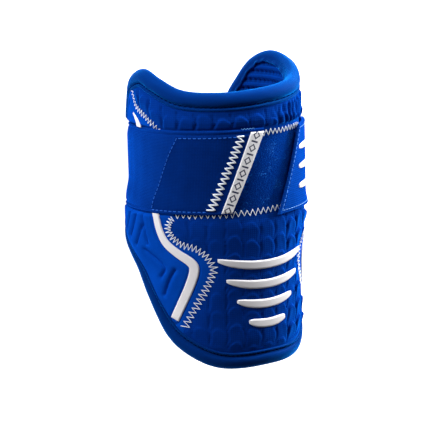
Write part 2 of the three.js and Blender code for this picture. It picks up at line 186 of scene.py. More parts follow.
def under_strap(across, along, out):
    """Presses a piece down to just under the strap where the strap covers it."""
    free = blend_in((np.abs(along - strap_middle) - strap_half - 0.1) / 2)
    pressed = np.minimum(out, strap_path(across / mid_out, -0.3))
    return pressed + (out - pressed) * free


def weighed(first, second, start, end, at):
    return ((end - at) * first + (at - start) * second) / (end - start)


def smooth_line(points, steps, closed=False):
    """A smooth line through the points, with the same number of steps from each to the next."""
    points = np.array(points, float)
    first_ones = range(len(points)) if closed else range(1, len(points))
    if not closed:
        before, after = points[0] * 2 - points[1], points[-1] * 2 - points[-2]
        points = np.array([before, *points, after])
    line = []
    for first in first_ones:
        a, b, c, d = (points[(first + hop) % len(points)] for hop in (-1, 0, 1, 2))
        k0, k1, k2, k3 = np.cumsum([0] + [np.linalg.norm(q - p) ** 0.5 for p, q in ((a, b), (b, c), (c, d))])
        for at in np.linspace(k1, k2, steps, endpoint=False):
            ab, bc, cd = weighed(a, b, k0, k1, at), weighed(b, c, k1, k2, at), weighed(c, d, k2, k3, at)
            abc, bcd = weighed(ab, bc, k0, k2, at), weighed(bc, cd, k1, k3, at)
            line.append(weighed(abc, bcd, k1, k2, at))
    return np.array(line if closed else line + [points[-2]])


lower_edge = [
    (0, 0.4), (35.5, 1.7), (57.8, 11.3), (73, 22.9),
    (90.7, 47.5), (105.2, 68.1), (122.3, 83.9), (135.9, 98.4),
]
back_edge = [(131.5, 140.2)]
upper_edge = [
    (135.4, 176.6), (126.9, 193), (115, 207.2), (97.9, 214), (73.6, 210.6), (43.4, 201.6), (0, 197.1),
    (-32.9, 195.8), (-56.5, 197.7), (-75.6, 205), (-93.3, 210.4), (-113.7, 203.7), (-126.9, 189.8),
    (-135.4, 174.4),
]
one_side = lower_edge + back_edge
other_side = [(-x, y) for x, y in one_side[:0:-1]]
per_point = 36
outline = smooth_line(one_side + upper_edge + other_side, per_point, closed=True)
ahead = np.roll(outline, -1, 0) - np.roll(outline, 1, 0)
ahead /= np.linalg.norm(ahead, axis=1)[:, None]
inward = np.stack([-ahead[:, 1], ahead[:, 0]], -1)
corner_at = {
    "low_right": per_point * (len(lower_edge) - 1),
    "high_right": per_point * len(one_side),
    "high_left": per_point * (len(one_side) + len(upper_edge) - 1),
    "low_left": per_point * (len(one_side) + len(upper_edge) + len(back_edge)),
}


def four_edges(distance):
    """The outline moved in by a distance and parted at its corners: low, high, left and right."""
    line = outline + distance * inward
    low = np.concatenate([line[corner_at["low_left"]:], line[: corner_at["low_right"] + 1]])
    back_right = line[corner_at["low_right"]: corner_at["high_right"] + 1]
    high = line[corner_at["high_right"]: corner_at["high_left"] + 1][::-1]
    back_left = line[corner_at["high_left"]: corner_at["low_left"] + 1][::-1]
    return low, high, back_left, back_right


def steps_of(line):
    return np.linalg.norm(np.diff(line, axis=0), axis=1)


def at_share(line, share):
    lengths = np.concatenate([[0], np.cumsum(steps_of(line))])
    return np.stack([np.interp(share * lengths[-1], lengths, line[:, axis]) for axis in (0, 1)], -1)


def between(low, high, left, right_line, u, v):
    """Places inside four edges, by their shares across and along."""
    u1, v1 = u[:, None], v[:, None]
    edges = (1 - v1) * at_share(low, u) + v1 * at_share(high, u)
    edges += (1 - u1) * at_share(left, v) + u1 * at_share(right_line, v)
    low_row = (1 - u1) * low[0] + u1 * low[-1]
    high_row = (1 - u1) * high[0] + u1 * high[-1]
    return edges - ((1 - v1) * low_row + v1 * high_row)


def gap_to(line, across, along):
    """How far each place is from a line, which is read at 2.5 points for each mm."""
    dense = at_share(line, np.linspace(0, 1, int(2.5 * steps_of(line).sum()) + 2))
    near = KDTree(len(dense))
    for index, (x, y) in enumerate(dense):
        near.insert((x, y, 0), index)
    near.balance()
    return np.array([near.find((x, y, 0))[2] for x, y in zip(across, along)])


def vertex_places(mesh):
    places = np.empty(3 * len(mesh.vertices))
    mesh.vertices.foreach_get("co", places)
    return places.reshape(-1, 3)


def unroll(mesh, across, along):
    """Lays each vertex's place on the flat piece in the mesh's UV map, which its finish reads."""
    corner_vert = np.empty(len(mesh.loops), int)
    mesh.loops.foreach_get("vertex_index", corner_vert)
    unrolled = np.stack([across, along], -1)[corner_vert] * uv_per_mm
    mesh.uv_layers.new(name="unrolled").data.foreach_set("uv", unrolled.ravel())


def layer(name, finish, columns, rows, place):
    """A closed piece of cloth or foam. place takes shares and gives across, along, outside and inside."""
    flat = bmesh.new()
    bmesh.ops.create_grid(flat, x_segments=columns, y_segments=rows, size=0.5)
    raised_part = bmesh.ops.extrude_face_region(flat, geom=flat.faces[:], use_keep_orig=True)["geom"]
    for vert in (part for part in raised_part if isinstance(part, bmesh.types.BMVert)):
        vert.co.z = 1
    bmesh.ops.recalc_face_normals(flat, faces=flat.faces)
    mesh = mesh_of(flat, name)
    spot = vertex_places(mesh)
    shares, which = np.unique(np.round(spot[:, :2] + 0.5, 6), axis=0, return_inverse=True)
    made = place(shares[:, 0], shares[:, 1])
    across, along, outside, inside = (np.broadcast_to(part, len(shares))[which.ravel()] for part in made)
    out = np.where(spot[:, 2] < 0.5, inside, outside)
    mesh.vertices.foreach_set("co", wrapped(across, along, out).ravel())
    unroll(mesh, across, along)
    mesh.polygons.foreach_set("use_smooth", [True] * len(mesh.polygons))
    mesh.set_sharp_from_angle(angle=math.radians(55))
    return own_object(name, mesh, finish)


def mark(piece, name, rule):
    """Gives each corner of a mesh a value that a finish can read, from its place on the flat piece."""
    flat_place = np.empty(2 * len(piece.data.loops))
    piece.data.uv_layers["unrolled"].data.foreach_get("uv", flat_place)
    value = rule(flat_place[0::2] / uv_per_mm, flat_place[1::2] / uv_per_mm)
    piece.data.attributes.new(name, "FLOAT", "CORNER").data.foreach_set("value", value)


def on_guard(piece, slot, *nodes, fill=None):
    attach(piece, "root")
    if nodes:
        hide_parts(*nodes)


def fill_socket(tree, socket, value):
    if isinstance(value, bpy.types.NodeSocket):
        tree.links.new(value, socket)
    else:
        socket.default_value = value


def worked_out(tree, operation, first, second=0.0, third=0.0):
    """One step of arithmetic in a finish, on numbers or on what other nodes give."""
    step = add_node(tree, "ShaderNodeMath", operation=operation)
    for socket, value in zip(step.inputs, (first, second, third)):
        fill_socket(tree, socket, value)
    return step.outputs["Value"]


def mixed(tree, share, first, second):
    """A colour between two others."""
    mix = add_node(tree, "ShaderNodeMix", data_type="RGBA")
    fill_socket(tree, mix.inputs["Factor"], share)
    fill_socket(tree, mix.inputs["A"], first)
    fill_socket(tree, mix.inputs["B"], second)
    return mix.outputs["Result"]


def laid_on(tree, place, kind, scale, detail, values=None, **settings):
    """A noise or wave pattern laid on a place."""
    pattern = add_node(tree, kind, {"Scale": scale, "Detail": detail, **(values or {})}, **settings)
    tree.links.new(place, pattern.inputs["Vector"])
    return pattern.outputs["Fac"]


def emboss(tree, shader, height, strength, distance):
    relief = add_node(tree, "ShaderNodeBump", {"Strength": strength, "Distance": distance})
    tree.links.new(height, relief.inputs["Height"])
    tree.links.new(relief.outputs["Normal"], shader.inputs["Normal"])


def flat_map(tree):
    return add_node(tree, "ShaderNodeUVMap", uv_map="unrolled").outputs["UV"]


knit_sheen_tint = (0.004, 0.15, 1)
wave_length = 0.314


def cloth_finish(
    name, colour, dark, roughness, thread, bump, sheen=0.7, tint=knit_sheen_tint, gloss=0.0, darker_by=None
):
    """Knit or weave with threads of a pitch in mm, worn in patches, and darker where an attribute says so: on
    the strap's doubled end, and as painted shade in the mesh's holes and on the binding's inner flap.
    """
    finish, tree, shader = new_finish(name, colour, roughness)
    place = flat_map(tree)
    scale, wavy = wave_length / (thread * uv_per_mm), {"Distortion": 0.6, "Detail Scale": 2}
    wales, courses = (
        laid_on(tree, place, "ShaderNodeTexWave", scale, detail=1, values=wavy, bands_direction=way)
        for way in "XY"
    )
    weave = worked_out(tree, "MULTIPLY", wales, courses)
    patches = laid_on(tree, place, "ShaderNodeTexNoise", scale=7, detail=5, values={"Roughness": 0.6})
    fuzz = laid_on(tree, place, "ShaderNodeTexNoise", scale=240, detail=3, values={"Roughness": 0.7})
    depth = worked_out(tree, "MULTIPLY_ADD", weave, 0.45, 0.28)
    shade = worked_out(tree, "MULTIPLY_ADD", patches, 0.55, depth)
    if darker_by:
        darker = add_node(tree, "ShaderNodeAttribute", attribute_name=darker_by)
        shade = worked_out(tree, "MULTIPLY_ADD", darker.outputs["Fac"], -0.35, shade)
    tree.links.new(mixed(tree, shade, (*dark, 1), (*colour, 1)), shader.inputs["Base Color"])
    height = worked_out(tree, "MULTIPLY_ADD", fuzz, 0.5, weave)
    emboss(tree, shader, height, strength=0.6, distance=bump)
    set_inputs(shader, {
        "Specular IOR Level": gloss,
        "Sheen Weight": sheen,
        "Sheen Roughness": 0.35,
        "Sheen Tint": (*tint, 1),
    })
    return finish


mesh_finish = cloth_finish(
    "spacer_mesh", (0.001, 0.036, 0.27), (0.0003, 0.006, 0.05), roughness=0.75, thread=1.6, bump=0.00025,
    sheen=0.3, darker_by="holes",
)
pad_low, pad_high, pad_left, pad_right = four_edges(2.0)
ridge_pitch, ridge_height = 6.5, 1.5
hole_pitch, hole_depth = 4.6, 1.7
mesh_face, folded_face = 53.1, 53.4
cover_face, cover_thick = 61.4, 1.8


def holes(across, along):
    """1 in the middle of each hole of the mesh, falling to 0. Every other row is shifted by half a hole."""
    row = along / ridge_pitch
    in_row = bump_at(row - np.floor(row) - 0.55, 0.2)
    return in_row * bump_at(np.sin(math.pi * (across / hole_pitch + 0.5 * np.floor(row))), 0.65)


def padding_place(u, v):
    across, along = between(pad_low, pad_high, pad_left, pad_right, u, v).T
    gap = gap_to(outline, across, along)
    in_fold = 1 - blend_in((gap - 7) / 3.5)
    thickness = np.sqrt(1 - (1 - np.clip((gap - 1.6) / 4.2, 0, 1)) ** 2)
    ridge = (0.5 + 0.5 * np.cos(2 * math.pi * along / ridge_pitch)) ** 1.5
    inside = mesh_face - ridge_height * ridge + hole_depth * holes(across, along)
    inside = inside + (folded_face - inside) * in_fold
    outside = under_strap(across, along, np.full(len(u), cover_face)) - cover_thick
    return across, along, mid_out + (outside - mid_out) * thickness, mid_out + (inside - mid_out) * thickness


padding = layer("foam_padding_and_mesh", mesh_finish, columns=220, rows=200, place=padding_place)
# The mesh's colour is also made darker in the middle of each hole: painted shade in the recesses.
mark(padding, "holes", lambda across, along: 2.2 * holes(across, along))
on_guard(padding, "lining", "lining", "foam_core", fill=1.0)


# The binding: a smooth stretch knit folded over the padding's edge all round. It is stitched through near
# its outer fold, which leaves a thin raised lip, and its inner flap ends in a loose, slightly wavy edge. The
# bead is its cut across: how far in from the edge, and how far out from the arm's axis.
binding_finish = cloth_finish(
    "stretch_binding", (0.0007, 0.024, 0.162), (0.0004, 0.011, 0.09), roughness=0.5, thread=0.8, bump=0.00012,
    sheen=1.0, tint=(0.001, 0.27, 1), gloss=0.002, darker_by="painted_flap_shade",
)
bead = smooth_line([
    (12.5, 60.7), (12.4, 62), (11.9, 62.7), (11.3, 62.65), (10.8, 61.9), (10.4, 60.9), (9.9, 60.75),
    (9.3, 61.7), (8.4, 62.6), (7, 63), (5, 62.8), (3.6, 62.3), (2.3, 61.4), (1.2, 60.2), (0.4, 58.9),
    (0, 57.4), (0.3, 56), (1.1, 54.7), (2.3, 53.5), (3.6, 52.65), (5, 52.1), (6.2, 51.5), (7, 51),
    (7.5, 50.95), (7.8, 51.4), (7.3, 52.2), (5, 52.95), (3.2, 53.9), (1.8, 55.4), (1.1, 57.4), (1.6, 59.3),
    (2.9, 60.6), (4.6, 61.3), (7.5, 61.2), (10, 60),
], 2, closed=True)
bead_step = 1.1
flap_in, lip_in, stitch_in = 7.4, 8.9, 10.1
wrinkle = np.random.default_rng(4)
waves = np.zeros(len(outline))
for count in (19, 31, 42, 53, 71):
    size, shift = wrinkle.uniform(0.4, 1), wrinkle.random()
    waves += size * np.sin(2 * math.pi * (count * np.arange(len(outline)) / len(outline) + shift))
around = np.concatenate([[0], np.cumsum(steps_of(np.concatenate([outline, outline[:1]])))])
stitch_pitch = around[-1] / round(around[-1] / 3.1)
ring = bmesh.new()
bmesh.ops.create_grid(ring, x_segments=len(outline), y_segments=len(bead), size=0.5)
binding_mesh = mesh_of(ring, "stretch_edge_binding")
grid_spot = (vertex_places(binding_mesh)[:, :2] + 0.5) * [len(outline), len(bead)]
grid_spot = np.round(grid_spot).astype(int)
round_at, bead_at = grid_spot[:, 0] % len(outline), grid_spot[:, 1] % len(bead)
depth_in, bead_out = bead[bead_at].T
on_flap = bump_at(depth_in - flap_in, 1.5) * (bead_out < 54)
depth_in = depth_in + on_flap * waves[round_at] * 0.24
pucker = np.cos(2 * math.pi * around[round_at] / stitch_pitch) * bump_at(depth_in - stitch_in, 0.9)
bead_out = bead_out + 0.4 * (pucker + 0.3) * (bead_out > 60.6)
bead_out = bead_out + 0.1 * waves[round_at] * bump_at(depth_in - lip_in, 0.8) * (bead_out > 61.2)
bead_out = bead_out - on_flap * (0.2 + 0.16 * np.roll(waves, 9)[round_at])
bead_across, bead_along = (outline[round_at] + depth_in[:, None] * inward[round_at]).T
bead_out = under_strap(bead_across, bead_along, bead_out)
binding_mesh.vertices.foreach_set("co", wrapped(bead_across, bead_along, bead_out).ravel())
unroll(binding_mesh, around[round_at], bead_step * bead_at)
ring = bmesh.new()
ring.from_mesh(binding_mesh)
bmesh.ops.remove_doubles(ring, verts=ring.verts, dist=1e-6)
bmesh.ops.recalc_face_normals(ring, faces=ring.faces)
ring.to_mesh(binding_mesh)
ring.free()
binding_mesh.polygons.foreach_set("use_smooth", [True] * len(binding_mesh.polygons))
binding = own_object("stretch_edge_binding", binding_mesh, binding_finish)


# Painted shade: the binding's inner flap, which lies in shade inside the ear, is coloured darker than the
# rest of the bead.
def painted_flap_shade(run, bead_place):
    step = bead_place / bead_step
    return 1.6 * blend_in((step - 34) / 4) * (1 - blend_in((step - 43.5) / 2))


mark(binding, "painted_flap_shade", painted_flap_shade)
on_guard(binding, "binding", "edge_binding", fill=1.0)


# The lower shield: knit bonded over a moulded shell with rows of scales, which covers the point of the
# elbow. Its edge is sewn flat to the side covers with a zigzag, and its foot goes under the binding.
shield_finish = cloth_finish(
    "shield_knit", (0.001, 0.027, 0.22), (0.0006, 0.014, 0.12), roughness=0.45, thread=1.4, bump=0.00018,
    sheen=0.9, tint=(0.004, 0.2, 1),
)
cover_inset, seam_bed = 12.3, 61.75
shield_seam = smooth_line([
    (58.8, 16.5), (58.8, 26.7), (46.1, 51.8), (38, 67.4), (37.2, 75.3),
    (45.1, 85.6), (60.6, 91.6), (66.6, 98.5), (66.4, 104.5), (62.6, 110),
], 16)
inner_low, inner_high, inner_left, inner_right = four_edges(cover_inset)
scale_pitch, scale_rise = 11.7, 12.6
rib_reaches, rib_first, rib_step, rib_bow = (14.5, 22.3, 28.9, 34.2), 32, 14, 0.153


def cut_at(line, across):
    order = np.argsort(line[:, 0])
    return np.array([across, np.interp(across, line[order, 0], line[order, 1])])


foot = gap_to(inner_low, *shield_seam.T).argmin()
shield_right = np.concatenate([[cut_at(inner_low, shield_seam[foot, 0])], shield_seam[foot + 1:]])
shield_left = shield_right * [-1, 1]
chin_across = np.linspace(shield_left[0, 0], shield_right[0, 0], 120)
shield_foot = np.array([cut_at(inner_low, x) for x in chin_across])
shield_top = np.array([shield_left[-1], shield_right[-1]])
shield_border = np.concatenate([shield_foot, shield_right, shield_top[::-1], shield_left[::-1]])


def seam_out(gap):
    return seam_bed + 0.8 * (1 - np.exp(-gap / 2.6))


def scales(across, along, middle_column, top_row, crests, grooves, run_on):
    """Knit over moulded scales in upright columns, each with an arched top that stands over the one above."""
    across = across - middle_column + 0.5 * np.sin(2 * math.pi * along / scale_rise)
    column = np.round(across / scale_pitch)
    off_middle = np.abs(2 * (across / scale_pitch - column))
    crest = top_row + 2.0 * np.sin(2.3 * column) - 5.8 * off_middle**1.9
    row = np.ceil((along - crest) / scale_rise)
    below_top = crest + row * scale_rise - along
    tile = 0.9 * bump_at(below_top, 7) * blend_in(below_top / 2.2)
    side = bump_at(scale_pitch / 2 * (1 - off_middle), 1.1)
    side = side * (1 - (1 - run_on) * blend_in((below_top - 5.5) / 5))
    return crests * tile * (1 - 0.6 * off_middle**3) - grooves * side - 0.35 * crests


def flat_ground(across, along):
    """1 on the flat ground that the shell has round each chin rib."""
    near = np.zeros(len(across))
    for number, reach in enumerate(rib_reaches):
        off = across / reach
        rib_middle = rib_first + rib_step * number + rib_bow * reach * off**2
        gap = np.hypot(np.maximum(np.abs(off) - 1, 0) * reach, along - rib_middle)
        near = np.maximum(near, 1 - blend_in((gap - 3.6) / 1.6))
    return near


def shield_out(across, along, border, first_scale, crests, grooves, run_on=0):
    gap = gap_to(border, across, along)
    proud = 0.95 * blend_in((gap - 0.5) / 10)
    raised_scale = scales(across, along + 0.045 * across, *first_scale, crests, grooves, run_on)
    raised_scale = raised_scale * (1 - 0.85 * flat_ground(across, along))
    return seam_out(gap) + proud + raised_scale * blend_in((gap - 1.2) / 3)


def lower_shield_place(u, v):
    across, along = between(shield_foot, shield_top, shield_left, shield_right, u, v).T
    to_right = blend_in((across - 4) / 26)
    crests, grooves = 0.6 + 1.5 * to_right, 0.65 + 0.6 * to_right
    out = shield_out(across, along, shield_border, (0.3, 94.5), crests, grooves)
    return across, along, out, out - 1.5


lower_shield = layer("lower_shield_knit", shield_finish, columns=190, rows=150, place=lower_shield_place)
on_guard(lower_shield, "shield", "lower_shield", fill=1.0)


# The upper shield: the same knit and shell above the strap, in columns of scales. Its top goes under the
# binding, and towards the tall ear the knit is gathered into folds that run up from the strap.
upper_seam = smooth_line(
    [(71.6, 166.5), (75.5, 171.2), (88.3, 178.9), (98.9, 185.3), (103.5, 194), (104.5, 200.5)], 12)
fold_pitch = 5.6
crown = gap_to(inner_high, *upper_seam.T).argmin()
upper_right = np.concatenate([upper_seam[:crown], [cut_at(inner_high, upper_seam[crown, 0])]])
left_seam = upper_seam * [-1, 1]
left_crown = gap_to(inner_high, *left_seam.T).argmin()
upper_left = np.concatenate([left_seam[:left_crown], [cut_at(inner_high, left_seam[left_crown, 0])]])
crown_across = np.linspace(upper_left[-1, 0], upper_right[-1, 0], 200)
upper_top = np.array([cut_at(inner_high, x) for x in crown_across])
upper_foot = np.array([upper_left[0], upper_right[0]])
upper_border = np.concatenate([upper_foot, upper_right, upper_top[::-1], upper_left[::-1]])


def upper_shield_place(u, v):
    across, along = between(upper_foot, upper_top, upper_left, upper_right, u, v).T
    to_side = blend_in((np.abs(across) - 8) / 26) * np.where(across > 0, 1, 0.35)
    crests, grooves, run_on = 1.0 + 0.2 * to_side, 0.8 + 1.2 * to_side, 0.75 * to_side
    out = shield_out(across, along, upper_border, (-17, 179.4), crests, grooves, run_on)
    fold_at = across + 0.15 * (along - 180) + 1.1 * np.sin(0.35 * along + 0.1 * across)
    folds = np.abs(np.sin(math.pi * fold_at / fold_pitch + 0.7 * np.sin(0.23 * fold_at)))
    gathered = blend_in((across - 2) / 17) * blend_in((gap_to(upper_border, across, along) - 0.8) / 3)
    out = out + gathered * (1.6 * folds - 0.95)
    return across, along, under_strap(across, along, out), 59.9


upper_shield = layer("upper_shield_knit", shield_finish, columns=290, rows=52, place=upper_shield_place)
on_guard(upper_shield, "shield", "upper_shield", fill=1.0)


# The loop panel: brushed nylon pile between the two shields, which the tab's hooks close on. It is cut from
# flat stock, sewn in with the shields' zigzag, and its pile lies unevenly where the tab has been pulled off.
loop_finish, loop_tree, loop_shader = new_finish("loop_pile", (0.001, 0.025, 0.18), roughness=0.6)


def stretched(tree, value, low, high):
    spread = add_node(tree, "ShaderNodeMapRange", {"From Min": low, "From Max": high})
    tree.links.new(value, spread.inputs["Value"])
    return spread.outputs["Result"]


loop_map = flat_map(loop_tree)
brushing, tufts, fibres = (
    laid_on(loop_tree, loop_map, "ShaderNodeTexNoise", scale, detail, {"Roughness": 0.65})
    for scale, detail in ((9, 6), (95, 3), (260, 2))
)
speck = stretched(loop_tree, tufts, 0.49, 0.68)
lint = worked_out(loop_tree, "MULTIPLY", stretched(loop_tree, brushing, 0.53, 0.65), speck)
pile = mixed(loop_tree, speck, (0.0006, 0.014, 0.12, 1), (0.0012, 0.03, 0.23, 1))
brushed = mixed(loop_tree, lint, pile, (0.035, 0.22, 0.85, 1))
loop_tree.links.new(brushed, loop_shader.inputs["Base Color"])
loop_height = worked_out(loop_tree, "MULTIPLY_ADD", fibres, 0.6, tufts)
emboss(loop_tree, loop_shader, loop_height, strength=0.8, distance=0.0012)
set_inputs(loop_shader, {"Specular IOR Level": 0.0, "Sheen Weight": 0.6, "Sheen Tint": (*knit_sheen_tint, 1)})
tuft = np.random.default_rng(11)


def loop_place(u, v):
    along = 110.3 + 55.9 * v
    across = (2 * u - 1) * (62.4 + 8.8 * v)
    return across, along, 61.2 + tuft.uniform(-0.12, 0.12, len(u)), 59.9


loop_panel = layer("loop_pile_panel", loop_finish, columns=150, rows=68, place=loop_place)
on_guard(loop_panel, "loop", "loop_panel", fill=1.0)


# The side covers: smooth stretch knit over the padding on both sides, with soft channels pressed in beside
# the white stripes. They meet the shields in a flat zigzag seam and go under the binding at the back.
side_finish = cloth_finish(
    "side_knit", (0.001, 0.056, 0.41), (0.0006, 0.025, 0.185), roughness=0.5, thread=0.9, bump=0.00015,
    sheen=0.6,
)
lower_stripe = [
    (76.2, 113.5), (75.1, 108.1), (73.1, 99.3), (68.9, 90.7), (60.7, 83.7),
    (52.9, 78.6), (50, 75.3), (49.8, 71.2), (53, 61.2), (64.6, 36.4),
]
upper_stripe = [(92, 167), (94.2, 171.5), (97.6, 175.6), (101.6, 179.2)]
channels = [
    ([(100.4, 110), (103.7, 103), (108.5, 95)], 1.6),
    ([(92, 109), (95.7, 101), (101, 92)], 1.6),
    ([(86.5, 101), (89.8, 94.2), (94, 87)], 1.6),
    ([(86.4, 110), (84.8, 100), (82.4, 89)], 1.4),
    ([(84.5, 84.5), (76.3, 78.7), (71.8, 74.8), (70.5, 71.5), (74, 66)], 1.7),
    ([(62.7, 71.8), (67.1, 64.6), (72, 53.3)], 1.8),
    ([(108, 187), (113, 181), (116, 172)], 1.5),
]
channel_deep, bank_high, bank_away = 1.6, 0.9, 2.8


def side_out(across, along, border):
    out = seam_out(gap_to(border, across, along))
    for points, width in channels:
        gap = gap_to(smooth_line(points, 8), np.abs(across), along)
        bank = bank_high * (gap / bank_away) * np.exp(1 - gap / bank_away)
        out = out - channel_deep * np.exp(-gap / (0.7 * width)) + bank
    pressed_line = gap_to(smooth_line(lower_stripe, 8), np.abs(across), along) - 3.5
    out = out - 0.8 * bump_at(pressed_line, 0.7)
    return under_strap(across, along, out)


def side_cover(name, node, side):
    seams = [shield_right, upper_right if side > 0 else upper_left * [-1, 1]]
    front = np.concatenate(seams) * [side, 1]
    low = inner_low if side > 0 else inner_low[::-1]
    high = inner_high[::-1] if side > 0 else inner_high
    low = low[side * low[:, 0] > seams[0][0, 0] + 0.4]
    high = high[side * high[:, 0] > seams[1][-1, 0] + 0.4]
    back = np.concatenate([low, (inner_right if side > 0 else inner_left)[1:-1], high])
    back = np.concatenate([front[:1], back, front[-1:]])
    border = np.concatenate([back[1:-1], front[::-1]])

    def place(u, v):
        near, far = at_share(front, v), at_share(back, 0.004 + 0.992 * v)
        share = (u if side > 0 else 1 - u)[:, None]
        across, along = (near + (far - near) * share).T
        out = side_out(across, along, border)
        return across, along, out, np.minimum(out - 0.7, 60)

    cover = layer(name, side_finish, columns=110, rows=210, place=place)
    on_guard(cover, "side_panel", node, fill=1.0)


side_cover("left_side_knit", "side_panel_left", -1)
side_cover("right_side_knit", "side_panel_right", 1)


# The white stripes: soft moulded strips, bonded to the side covers. Each runs from the binding to the strap,
# goes under it, and comes out above it.
stripe_finish, stripe_tree, stripe_shader = new_finish("white_moulding", (0.85, 0.82, 0.84), roughness=0.42)
object_place = add_node(stripe_tree, "ShaderNodeTexCoord").outputs["Object"]
grain = laid_on(stripe_tree, object_place, "ShaderNodeTexNoise", scale=900, detail=3)
spread = laid_on(stripe_tree, object_place, "ShaderNodeTexNoise", scale=45, detail=4)
tone = mixed(stripe_tree, spread, (0.62, 0.6, 0.625, 1), (0.74, 0.72, 0.735, 1))
stripe_tree.links.new(tone, stripe_shader.inputs["Base Color"])
emboss(stripe_tree, stripe_shader, grain, strength=0.25, distance=0.0002)
set_inputs(stripe_shader, {"Specular IOR Level": 0.4})
stripe_bed, stripe_rim, stripe_thick = 62.1, 62.45, 0.75


def beside(line, distance):
    ahead = np.gradient(line, axis=0)
    ahead /= np.linalg.norm(ahead, axis=1)[:, None]
    return line + distance * np.stack([-ahead[:, 1], ahead[:, 0]], -1)


def rounded(share, edge):
    """Height of a rounded rim: 0 at both ends of the share, and 1 from edge inwards."""
    inner = np.clip(np.minimum(share, 1 - share) / edge, 0, 1)
    return np.sqrt(1 - (1 - inner) ** 2)


def stripe(name, node, points, widths, side, below):
    line = smooth_line(points, 14) * [side, 1]
    width = np.interp(np.linspace(0, 1, len(line)), np.linspace(0, 1, len(widths)), widths)[:, None]
    sideways = beside(line, 1) - line
    left, right_edge = line + sideways * width / 2, line - sideways * width / 2

    def place(u, v):
        a, b = at_share(left, v), at_share(right_edge, v)
        across, along = (a + (b - a) * u[:, None]).T
        if below:
            along = np.minimum(along, strap_middle - strap_half - 0.2)
        else:
            along = np.maximum(along, strap_middle + strap_half + 0.2)
        proud = np.maximum(rounded(u, 0.13), 0.05) * np.maximum(rounded(v, 0.02), 0.05)
        return across, along, stripe_rim + stripe_thick * proud, stripe_bed

    made = layer(name, stripe_finish, columns=14, rows=8 * len(points), place=place)
    on_guard(made, "stripe", node)


lower_widths, upper_widths = (4.8, 5.1, 6.1, 6.7, 6.4), (4.8, 3.6, 1)
for side, word in ((-1, "left"), (1, "right")):
    stripe(f"{word}_lower_stripe", f"stripe_lower_{word}", lower_stripe, lower_widths, side, True)
    stripe(f"{word}_upper_stripe", f"stripe_upper_{word}", upper_stripe, upper_widths, side, False)


# The strap: wide woven elastic with a turned edge on each side. Its front end is doubled up to a slanting
# fold and sewn down. From there it runs over the left side, straight across the open back and up the right
# side, to end inside the tab.
elastic_finish = cloth_finish(
    "woven_elastic", (0.0014, 0.03, 0.23), (0.0006, 0.012, 0.1), roughness=0.6, thread=1.0, bump=0.0004,
    sheen=1.0, darker_by="doubled",
)
strap_slant, strap_thick = 0.388, 1.5
tab_end_across = -(360 - 64) * math.radians(1) * mid_out
end_slope = smooth_line([(-58.4, 165), (-64.2, 153), (-71.2, 135), (-76.7, 121), (-78.3, 113.7)], 6)


def slanted(across, along):
    return across + (along - strap_middle) * strap_slant


def doubled(across, along):
    """1 where the strap's sewn end is doubled, within its two level stitch lines and the slanting one."""
    within = blend_in((across - np.interp(along, end_slope[::-1, 1], end_slope[::-1, 0]) + 1.5) / 0.8)
    return within * blend_in((along - 112.4) / 0.8) * (1 - blend_in((along - 165.5) / 0.8))


def strap_out(across, along):
    edge = strap_half - np.abs(along - strap_middle)
    lift = strap_thick - 0.5 * np.exp(-edge / 0.3)
    turned_edge, turned_groove = 0.45 * bump_at(edge - 1.0, 0.8), 0.6 * bump_at(edge - 2.6, 0.55)
    lift = lift + turned_edge + 0.25 * doubled(across, along) - turned_groove
    lift = lift + 0.07 * np.sin(across * 0.55 + 0.3 * np.sin(along * 0.16)) * blend_in((edge - 3) / 6)
    return strap_path(across / mid_out, lift)


def strap_place(u, v):
    along = strap_middle + strap_half * (2 * v - 1)
    front_end = slanted(-13.6 + 1.2 * v, along)
    across = tab_end_across + (front_end - tab_end_across) * u
    return across, along, strap_out(across, along), strap_path(across / mid_out, 0.05)


strap = layer("elastic_strap", elastic_finish, columns=300, rows=80, place=strap_place)
mark(strap, "doubled", doubled)
on_guard(strap, "strap", "strap")


# The label: a white woven strip with a plain row of blue lozenges and bars down its middle. It is folded
# over the strap's cut end and sewn down, and it slants with that end.
label_finish, label_tree, label_shader = new_finish("white_woven_strip", (0.85, 0.84, 0.86), roughness=0.55)
label_pitch, label_middle = 9.2, -66.6
lozenge_half, lozenge_long, bar_from, bar_half = 2.5, 3.1, 4.0, 2.2
label_foot, label_head, label_wide, label_wider = 112.3, 167.9, 6.9, 2.3
label_map = flat_map(label_tree)
turned_map = add_node(label_tree, "ShaderNodeMapping", {
    "Rotation": (0, 0, math.atan(strap_slant)),
    "Scale": (100, 100, 1),
})
label_tree.links.new(label_map, turned_map.inputs["Vector"])
in_line = turned_map.outputs["Vector"]
split = add_node(label_tree, "ShaderNodeSeparateXYZ")
label_tree.links.new(in_line, split.inputs["Vector"])


def off_by(value, middle):
    return worked_out(label_tree, "ABSOLUTE", worked_out(label_tree, "SUBTRACT", value, middle))


sideways_off = off_by(split.outputs["X"], label_middle)
in_pitch = worked_out(label_tree, "MODULO", split.outputs["Y"], label_pitch)
lengthways_off = off_by(in_pitch, label_pitch / 2)
lozenge = worked_out(label_tree, "ADD", worked_out(label_tree, "DIVIDE", sideways_off, lozenge_half),
                     worked_out(label_tree, "DIVIDE", lengthways_off, lozenge_long))
lozenge_line = worked_out(label_tree, "COMPARE", lozenge, 0.8, 0.2)
bar = worked_out(label_tree, "MULTIPLY", worked_out(label_tree, "GREATER_THAN", lengthways_off, bar_from),
                 worked_out(label_tree, "LESS_THAN", sideways_off, bar_half))
figure = worked_out(label_tree, "MAXIMUM", lozenge_line, bar)
handled = laid_on(label_tree, label_map, "ShaderNodeTexNoise", scale=22, detail=5, values={"Roughness": 0.65})
picks, warps = (
    laid_on(label_tree, in_line, "ShaderNodeTexWave", scale, detail=1, values={"Distortion": 0.8},
            bands_direction=way)
    for scale, way in ((0.45, "Y"), (0.62, "X"))
)
basket = worked_out(label_tree, "MULTIPLY", picks, warps)
